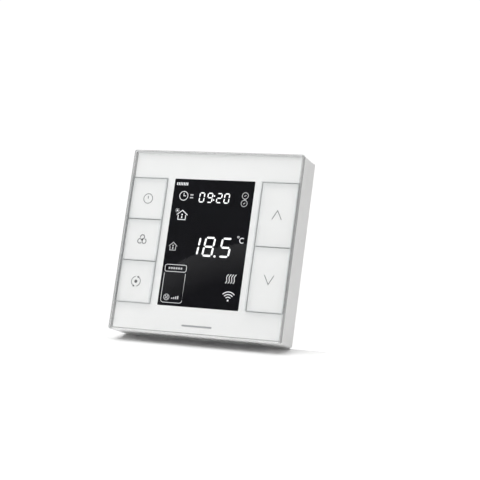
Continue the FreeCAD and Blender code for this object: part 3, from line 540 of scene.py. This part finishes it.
MATERIALS = {
    "clear_acrylic": clear_acrylic(),
    "white_print": white_print(),
    "housing_white": moulded("housing_white", grey(0.85, FRONT_TINT), 0.45, 2400.0, 0.00003),
    "lcd_glass": glass("lcd_glass", (0.9, 0.93, 0.92, 1.0)),
    "polariser": polariser(),
    "backlight_white": moulded("backlight_white", grey(0.88), 0.35),
    "elastomer": layered_rubber(),
    "frame_white": moulded("frame_white", grey(0.78), 0.5),
    "board_green": circuit_board(),
    "zinc_steel": brushed("zinc_steel", (0.66, 0.67, 0.70, 1.0), 0.32),
    "switch_black": moulded("switch_black", grey(0.02), 0.45),
    "switch_steel": brushed("switch_steel", (0.70, 0.70, 0.71, 1.0), 0.28),
    "chip_black": moulded("chip_black", grey(0.025), 0.55, 3200.0),
    "radio_can": brushed("radio_can", (0.72, 0.72, 0.70, 1.0), 0.25),
    "crystal_can": brushed("crystal_can", (0.75, 0.74, 0.72, 1.0), 0.2),
    "cell_steel": brushed("cell_steel", (0.74, 0.74, 0.75, 1.0), 0.22),
    "holder_black": moulded("holder_black", grey(0.03), 0.5),
    "chip_ceramic": moulded("chip_ceramic", (0.42, 0.33, 0.24, 1.0), 0.5, 4000.0),
    "bead_glass": moulded("bead_glass", (0.35, 0.10, 0.05, 1.0), 0.12, 900.0, 0.000005),
    "socket_black": moulded("socket_black", grey(0.028), 0.45),
    "base_white": moulded("base_white", grey(0.78, REAR_TINT), 0.5, 1800.0, 0.00004),
    "spring_steel": brushed("spring_steel", (0.62, 0.62, 0.64, 1.0), 0.26),
    "cover_white": moulded("cover_white", grey(0.76, REAR_TINT), 0.52, 1800.0, 0.00004),
    "transformer_yellow": wound_tape(),
    "relay_blue": moulded("relay_blue", (0.03, 0.11, 0.42, 1.0), 0.4),
    "fuse_glass": moulded("fuse_glass", (0.62, 0.66, 0.66, 1.0), 0.12, 700.0, 0.000005),
    "varistor_blue": moulded("varistor_blue", (0.02, 0.14, 0.36, 1.0), 0.3, 500.0, 0.00006),
    "capacitor_black": moulded("capacitor_black", grey(0.03), 0.32),
    "pin_brass": brushed("pin_brass", (0.78, 0.60, 0.30, 1.0), 0.25),
    "terminal_green": moulded("terminal_green", (0.03, 0.28, 0.10, 1.0), 0.42, 2000.0, 0.00003),
    "key_white": moulded("key_white", grey(0.90, FRONT_TINT), 0.45),
    "plunger_black": moulded("plunger_black", grey(0.03), 0.4),
}


def dress_nodes():
    """Gives every node the material of its slot."""
    for node in nodes.values():
        for slot in node.material_slots:
            slot.material = MATERIALS[slot.name]


def settle(names, depth):
    """Draws surfaces in by a hair, so that they don't share a plane with the clear panel or with marks."""
    for name in names:
        draw_in = nodes[name].modifiers.new("settle", "DISPLACE")
        draw_in.mid_level = 0.0
        draw_in.strength = -depth


dress_nodes()
settle(["face_print"] + [name for name in nodes if name.endswith("_carrier")], PRINT_DRAWN_IN * MM)
settle(["box_cover"], INK * MM)
LIT = lit_mark("lcd_lit", 0.92)
LIT_SMALL = lit_mark("lcd_lit_small", 0.66, (0.97, 0.98, 1.0))
LIT_FAINT = lit_mark("lcd_lit_faint", 0.42, (0.97, 0.98, 1.0))
KEY_INK = symbol_ink("key_ink", 0.15)
EMBLEM_INK = symbol_ink("emblem_ink", 0.42)

# ---- Display ----
SEGMENTS = {
    "0": "abcdef", "1": "bc", "2": "abged", "3": "abgcd", "4": "fgbc",
    "5": "afgcd", "6": "afgedc", "7": "abc", "8": "abcdefg", "9": "abcdfg",
}


# lean is sideways per unit of height, and gap is what each segment leaves free at its ends
DigitStyle = namedtuple("DigitStyle", "width height thick lean gap")
TIME_STYLE = DigitStyle(2.8, 4.8, 0.5, 0.06, 0.16)
TEMPERATURE_STYLE = DigitStyle(5.4, 9.3, 0.88, 0.11, 0.24)
POLE_STYLE = DigitStyle(1.3, 2.4, 0.36, 0.0, 0.05)


def add_digit(marks, digit, x, z, style):
    """A seven-segment digit whose lower left corner is at x, z."""
    half = style.thick / 2
    left, right = x + half, x + style.width - half
    low, middle, top = z + half, z + style.height / 2, z + style.height - half
    ends = {
        "a": ((left, top), (right, top)), "g": ((left, middle), (right, middle)),
        "d": ((left, low), (right, low)), "f": ((left, middle), (left, top)),
        "b": ((right, middle), (right, top)), "e": ((left, low), (left, middle)),
        "c": ((right, low), (right, middle)),
    }
    for name in SEGMENTS[digit]:
        (x0, z0), (x1, z1) = ends[name]
        along = Vector((x1 - x0, z1 - z0)).normalized()
        across = Vector((-along.y, along.x)) * half
        a = Vector((x0, z0)) + along * style.gap
        b = Vector((x1, z1)) - along * style.gap
        outline = (a, a + along * half + across, b - along * half + across, b,
                   b - along * half - across, a + along * half - across)
        marks.plate([(p.x + style.lean * (p.y - z), p.y) for p in outline])


def add_row(marks, count, x, pitch, width, low, high, radius, rise=0.0):
    """A row of small filled boxes, each higher than the last by the rise."""
    for i in range(count):
        left = x + i * pitch
        marks.plate(rounded_box(left, left + width, low, high + i * rise, radius))


def add_time(marks, z):
    """The time of day, with its colon."""
    for digit, x in zip("0920", (-7.0, -2.9, 1.8, 5.55)):
        add_digit(marks, digit, x, z, TIME_STYLE)
    for x, rise in ((0.62, 1.4), (0.76, 3.35)):
        marks.plate(ring(x, z + rise, 0.36, 12))


def add_temperature(marks, z):
    """The room temperature, with its decimal point."""
    for digit, x in zip("185", (-9.1, -1.75, 6.6)):
        add_digit(marks, digit, x, z, TEMPERATURE_STYLE)
    marks.plate(ring(5.0, z + 0.35, 0.52, 14))


def add_clock(marks, x, z):
    """A clock face with its two hands."""
    marks.line(ring(x, z, 2.1), 0.3, closed=True)
    marks.line([(x, z + 1.4), (x, z), (x + 1.1, z)], 0.3)


def add_house(marks, x, z, width, height, line):
    """A small house outline with an open gable."""
    eave = z + height * 0.5
    marks.line([(x - width * 0.5, eave), (x, z + height), (x + width * 0.5, eave)], line)
    marks.line([(x - width * 0.34, eave), (x - width * 0.34, z), (x + width * 0.34, z),
                (x + width * 0.34, eave)], line)


def add_sun(marks, x, z, radius):
    """A small sun with eight rays."""
    marks.plate(ring(x, z, radius * 0.36, 14))
    for turn in range(8):
        a = math.radians(turn * 45)
        ends = [(x + r * math.cos(a), z + r * math.sin(a)) for r in (radius * 0.62, radius)]
        marks.line(ends, 0.17)


def add_person(marks, x, z, height):
    """A head over a plain body."""
    marks.plate(ring(x, z + height * 0.8, height * 0.17, 12))
    marks.line([(x, z), (x, z + height * 0.5)], height * 0.24)


def add_degree(marks, x, z):
    """Degree ring at x, z and the letter of the Celsius scale beside it."""
    marks.line(ring(x, z, 0.4, 16), 0.2, closed=True)
    marks.line(arc(x + 2.0, z - 1.55, 1.15, 48, 312, 18), 0.38)


def add_zones(marks):
    """Two zone rings joined by a line, with a short mark in each."""
    for x, z in ((16.15, 23.1), (16.05, 19.55)):
        marks.line(ring(x, z, 1.5, 24), 0.26, closed=True)
        marks.line([(x - 0.45, z - 0.35), (x + 0.45, z + 0.35)], 0.3)
    marks.line([(16.9, 21.75), (15.3, 20.9)], 0.24)


def add_heat(marks, x, z):
    """Four rising waves of warm air."""
    height, lean, sway, turns, steps = 4.2, 1.0, 0.36, 1.1, 16
    for i in range(4):
        points = []
        for step in range(steps + 1):
            t = step / steps
            swing = sway * math.sin(t * 2 * math.pi * turns)
            points.append((x + i * 1.25 + swing + lean * t, z + height * t))
        marks.line(points, 0.3)


def add_wireless(marks, x, z):
    """A dot under three arcs."""
    marks.plate(ring(x, z, 0.42, 14))
    for radius in (1.55, 2.75, 3.95):
        marks.line(arc(x, z, radius, 43, 137, 16), 0.38)


def add_menu(marks):
    """Header and frame of the menu box at the lower left."""
    left, right, bend, open_top = -19.0, -8.25, 1.35, -14.75
    bend_z = -27.1
    marks.line(rounded_box(left, right + 0.1, -14.0, -10.75, 0.9), 0.22, closed=True)
    side = [(right, open_top), (right, bend_z - 0.1)] + arc(right - bend, bend_z, bend, 0, -90, 6)
    side += arc(left + bend, bend_z, bend, -90, -180, 6) + [(left, open_top)]
    marks.line(side, 0.2)


def add_fan(marks, x, z, radius, line):
    """A ring with four fan blades."""
    marks.line(ring(x, z, radius, 28), line, closed=True)
    for turn in range(4):
        a = math.radians(45 + turn * 90)
        u, w = math.cos(a), math.sin(a)
        reach = radius * 0.72
        blade = [(x, z), (x + reach * (u - 0.35 * w), z + reach * (w + 0.35 * u)),
                 (x + reach * (u + 0.35 * w), z + reach * (w - 0.35 * u))]
        marks.plate(blade)


def build_display():
    """All that the display shows, as three pieces by brightness. Words are plain rows of marks."""
    bright = Marks(LCD_INK_Y)
    add_time(bright, 19.1)
    add_temperature(bright, -6.1)
    bright.piece("lcd_digits", "front_unit", "backlight_white", LIT)

    small = Marks(LCD_INK_Y)
    add_clock(small, -14.8, 21.9)
    add_row(small, 7, -19.1, 0.86, 0.5, 26.9, 28.3, 0.12)           # the seven days
    add_house(small, -14.3, 10.6, 5.6, 4.4, 0.38)
    add_person(small, -14.3, 11.2, 2.2)
    add_sun(small, -17.0, 14.9, 1.05)
    add_degree(small, 15.5, 3.8)
    add_heat(small, 12.1, -17.7)
    add_wireless(small, 14.45, -25.5)
    add_menu(small)
    small.piece("lcd_symbols", "front_unit", "backlight_white", LIT_SMALL)

    faint = Marks(LCD_INK_Y)
    for z in (21.15, 22.5):
        add_row(faint, 1, -11.5, 0.0, 1.6, z - 0.3, z + 0.3, 0.1)   # two bars beside the clock
    add_house(faint, -16.6, -4.0, 4.2, 3.7, 0.3)
    add_person(faint, -16.6, -3.6, 2.2)
    add_zones(faint)
    add_row(faint, 6, -17.2, 1.22, 0.8, -12.85, -11.95, 0.1)        # the menu's header
    add_fan(faint, -16.25, -26.0, 1.35, 0.28)
    add_row(faint, 4, -13.8, 1.0, 0.62, -26.7, -26.1, 0.08, 0.32)   # the fan's speed
    faint.piece("lcd_small_symbols", "front_unit", "backlight_white", LIT_FAINT)


# ---- Key symbols ----


SYMBOL_RADIUS = 2.3
SYMBOL_LINE = 0.28


def key_middle(key):
    """The middle of a key's cap, as x and z."""
    low, high = corners_mm("key_" + key + "_cap")
    return (low[0] + high[0]) / 2, (low[2] + high[2]) / 2


def power_symbol(marks, x, z):
    """A ring with a short upright bar."""
    marks.line(ring(x, z, SYMBOL_RADIUS, 40), SYMBOL_LINE, closed=True)
    marks.line([(x, z - 0.1), (x, z + 1.25)], 0.32)


def fan_symbol(marks, x, z):
    """A three-bladed fan."""
    reach, radius = 1.25, 1.1
    for turn in (0, 120, 240):
        a = math.radians(90 + turn)
        blade = arc(x + reach * math.cos(a), z + reach * math.sin(a), radius, turn - 20, turn + 200, 14)
        marks.line([(x, z)] + blade, 0.36)
    marks.plate(ring(x, z, 0.5, 14))


def mode_symbol(marks, x, z):
    """Two arrows that chase each other round a dot."""
    sweep = 140
    for start in (100, 280):
        marks.line(arc(x, z, SYMBOL_RADIUS, start, start + sweep, 22), SYMBOL_LINE)
        a = math.radians(start + sweep)
        tip = Vector((x + SYMBOL_RADIUS * math.cos(a), z + SYMBOL_RADIUS * math.sin(a)))
        ahead = Vector((-math.sin(a), math.cos(a)))
        out = Vector((math.cos(a), math.sin(a)))
        points = (tip + ahead * 0.95, tip + out * 0.6, tip - out * 0.6)
        marks.plate([(p.x, p.y) for p in points])
    marks.plate(ring(x, z, 0.75, 18))


def up_symbol(marks, x, z, rise=2.1):
    """An open arrow head that points up."""
    marks.line([(x - SYMBOL_RADIUS, z - rise), (x, z + rise), (x + SYMBOL_RADIUS, z - rise)], 0.3)


def down_symbol(marks, x, z):
    up_symbol(marks, x, z, -2.1)


def build_key_symbols():
    """One symbol for each key, which rides on it."""
    makers = {
        "power": power_symbol,
        "fan": fan_symbol,
        "mode": mode_symbol,
        "up": up_symbol,
        "down": down_symbol,
    }
    for key, maker in makers.items():
        marks = Marks(CAP_INK_Y)
        x, z = key_middle(key)
        maker(marks, x, z)
        marks.piece("symbol_" + key, "key_" + key, "key_white", KEY_INK)


def build_emblem():
    """A plain slim bar where a maker would print a mark."""
    marks = Marks(CAP_INK_Y)
    marks.plate(rounded_box(-6.5, 8.5, -38.9, -38.1, 0.35))
    marks.piece("front_bar", "front_unit", "white_print", EMBLEM_INK)


# ---- Rear details ----


def build_pole_numbers():
    """Pole numbers on the cover, above the terminals, mirrored so that they read from behind."""
    poles = 7
    above = 1.2
    pitch = (BLOCK_HIGH[0] - BLOCK_LOW[0]) / poles
    marks = Marks(Y_COVER - INK)
    for i in range(poles):
        x = BLOCK_LOW[0] + pitch * (i + 0.5)
        add_digit(marks, str(i + 1), -x - POLE_STYLE.width / 2, BLOCK_HIGH[2] + above, POLE_STYLE)
    for vert in marks.bm.verts:
        vert.co.x = -vert.co.x
    marks.piece("pole_numbers", "base", "cover_white", symbol_ink("pole_ink", 0.12))


build_display()
build_key_symbols()
build_emblem()
build_pole_numbers()

# ---- Stage, light and camera ----
# The object stands on the lower rear edge of its housing. The paper is level behind that edge and
# falls away from it towards the camera, which looks up at the object. A folded lip of paper closes the
# gap under the base plate, which is a little higher than the housing.
REST_Z = PANEL_LOW[2] * MM
BASE_Z = BASE_LOW[2] * MM
LEAN = math.radians(19.5)
PAPER_RUN = 0.26                     # sloping length of the paper
PAPER_BEND = 0.12                    # radius of the bend at its foot
PAPER_GAP = 0.0001                   # keeps the paper just below the object
FLOOR_GAP = 0.001                    # keeps the floor just below the foot of the slope
FLOOR_HALF = 1.6                     # how far the paper reaches to each side, and to the front and rear
LIP_HALF = (BASE_HIGH[0] - 0.8) * MM  # hidden behind the housing


def stage_material():
    """Pale matt paper that reads as white under the studio light."""
    paint = Paint("pale_paper")
    fibre = paint.noise(300.0, 4.0)
    tone = paint.mix(fibre, grey(0.83), grey(0.80))
    return paint.shade(paint.principled(tone, paint.by_noise(fibre, 0.8, 0.9), Specular_IOR_Level=0.0))


def paper_profile():
    """(y, z) points from the object's lower rear edge down the slope and round to the level floor."""
    ahead = Vector((-math.cos(LEAN), -math.sin(LEAN)))
    start = Vector((0.0, REST_Z - PAPER_GAP))
    foot = start + ahead * PAPER_RUN
    centre = foot + Vector((-math.sin(LEAN), math.cos(LEAN))) * PAPER_BEND
    points = [start, foot]
    steps = 12
    for i in range(1, steps + 1):
        a = LEAN * (1 - i / steps)
        points.append(centre + Vector((math.sin(a), -math.cos(a))) * PAPER_BEND)
    return points


def stage_mesh(name, rows, half, paper):
    """A sheet of paper through (y, z) rows, reaching half to either side."""
    bm = bmesh.new()
    made = [[bm.verts.new((x, y, z)) for x in (-half, half)] for y, z in rows]
    for a, b in zip(made, made[1:]):
        bm.faces.new((a[0], a[1], b[1], b[0]))
    mesh = bpy.data.meshes.new(name)
    bm.to_mesh(mesh)
    bm.free()
    for face in mesh.polygons:
        face.use_smooth = True
    thing = bpy.data.objects.new(name, mesh)
    bpy.context.scene.collection.objects.link(thing)
    mesh.materials.append(paper)


def build_paper():
    """The slope in front, the level behind, the lip under the base plate and the floor past the slope."""
    paper = stage_material()
    slope = paper_profile()
    top_z = REST_Z - PAPER_GAP
    floor_z = slope[-1].y - FLOOR_GAP
    stage_mesh("paper_slope", slope, FLOOR_HALF, paper)
    stage_mesh("paper_level", [(0.0, top_z), (FLOOR_HALF, top_z)], FLOOR_HALF, paper)
    stage_mesh("paper_lip", [(0.0, top_z), (0.0, BASE_Z - PAPER_GAP)], LIP_HALF, paper)
    stage_mesh("paper_floor", [(-FLOOR_HALF, floor_z), (0.0, floor_z)], FLOOR_HALF, paper)


# name, place, width and height in metres, power in watts; all of them aim at the origin
LIGHTS = (
    ("key_light", (-0.5, -0.6, 0.75), (0.8, 0.8), 7.5),
    ("top_light", (0.1, -0.3, 0.85), (0.5, 0.4), 2.6),
    ("right_light", (0.85, -0.4, 0.35), (0.4, 0.5), 0.9),
    ("rear_light", (-0.3, 0.9, 0.5), (0.6, 0.5), 4.0),
)


def area_light(name, at, size, power):
    """A rectangular lamp that aims at the origin."""
    data = bpy.data.lights.new(name, "AREA")
    data.shape = "RECTANGLE"
    data.size, data.size_y = size
    data.energy = power
    lamp = bpy.data.objects.new(name, data)
    lamp.location = at
    lamp.rotation_euler = (-Vector(at)).to_track_quat("-Z", "Y").to_euler()
    lamp.visible_camera = False
    bpy.context.scene.collection.objects.link(lamp)


DISC_AT = (-0.183, -0.516, -0.0475)
DISC_RADIUS = 0.146
DISC_LEVEL = 0.62                    # brightness at the rim
DISC_DIM = 0.14                      # share of it in the middle
DISC_FADE_START = 0.78               # share of the radius where it starts to brighten


def disc_reflector(name):
    """A round reflector in front of the panel, bright at its rim, that only shows in glossy surfaces."""
    paint = Paint(name)
    edge = paint.node("ShaderNodeVectorMath", operation="LENGTH")
    paint.join(paint.place, edge.inputs[0])
    fade_start = DISC_RADIUS * DISC_FADE_START
    level = paint.span(edge.outputs["Value"], fade_start, DISC_RADIUS, DISC_DIM * DISC_LEVEL, DISC_LEVEL)
    glow = paint.node("ShaderNodeEmission")
    paint.join(level, glow.inputs["Strength"])
    bm = bmesh.new()
    bm.faces.new([bm.verts.new((x, 0.0, z)) for x, z in ring(0.0, 0.0, DISC_RADIUS, 96)])
    mesh = bpy.data.meshes.new(name)
    bm.to_mesh(mesh)
    bm.free()
    mesh.materials.append(paint.shade(glow.outputs["Emission"]))
    disc = bpy.data.objects.new(name, mesh)
    disc.location = DISC_AT
    for kind in ("camera", "diffuse", "transmission", "volume_scatter", "shadow"):
        setattr(disc, "visible_" + kind, False)
    bpy.context.scene.collection.objects.link(disc)


def studio_world():
    """White behind the object for the camera; soft light from above and behind for everything else."""
    world = bpy.data.worlds.new("studio")
    world.use_nodes = True
    sky = Nodes(world.node_tree)
    output = sky.node("ShaderNodeOutputWorld")
    axes = sky.parts_of(sky.node("ShaderNodeTexCoord").outputs["Generated"])
    above = sky.span(axes["Z"], 0.3, 0.85, 0.0, 0.55, interpolation_type="SMOOTHSTEP")
    behind = sky.span(axes["Y"], -0.4, 0.5, 0.12, 0.34, interpolation_type="SMOOTHSTEP")
    lighting = sky.node("ShaderNodeBackground")
    lighting.inputs["Color"].default_value = (1.0, 0.998, 0.993, 1.0)
    sky.join(sky.math("ADD", above, behind), lighting.inputs["Strength"])
    backdrop = sky.node("ShaderNodeBackground")
    backdrop.inputs["Color"].default_value = WHITE
    backdrop.inputs["Strength"].default_value = 1.05
    seen = sky.node("ShaderNodeLightPath").outputs["Is Camera Ray"]
    both = sky.blend(seen, lighting.outputs["Background"], backdrop.outputs["Background"])
    sky.join(both, output.inputs["Surface"])
    bpy.context.scene.world = world


def place_camera():
    """The camera at the photograph's viewpoint."""
    data = bpy.data.cameras.new("view")
    data.lens = CAMERA_LENS
    data.sensor_width = SENSOR
    data.clip_start = 0.01
    camera = bpy.data.objects.new("view", data)
    turn = Matrix.Rotation(CAMERA_TURN, 4, "Z") @ Matrix.Rotation(math.pi / 2 + CAMERA_RISE, 4, "X")
    roll = Matrix.Rotation(CAMERA_ROLL, 4, "Z")
    camera.matrix_world = Matrix.Translation(CAMERA_AT) @ turn @ roll
    bpy.context.scene.collection.objects.link(camera)
    bpy.context.scene.camera = camera


build_paper()
for light in LIGHTS:
    area_light(*light)
disc_reflector("round_reflector")
studio_world()
place_camera()
bpy.context.scene.view_settings.view_transform = "Standard"
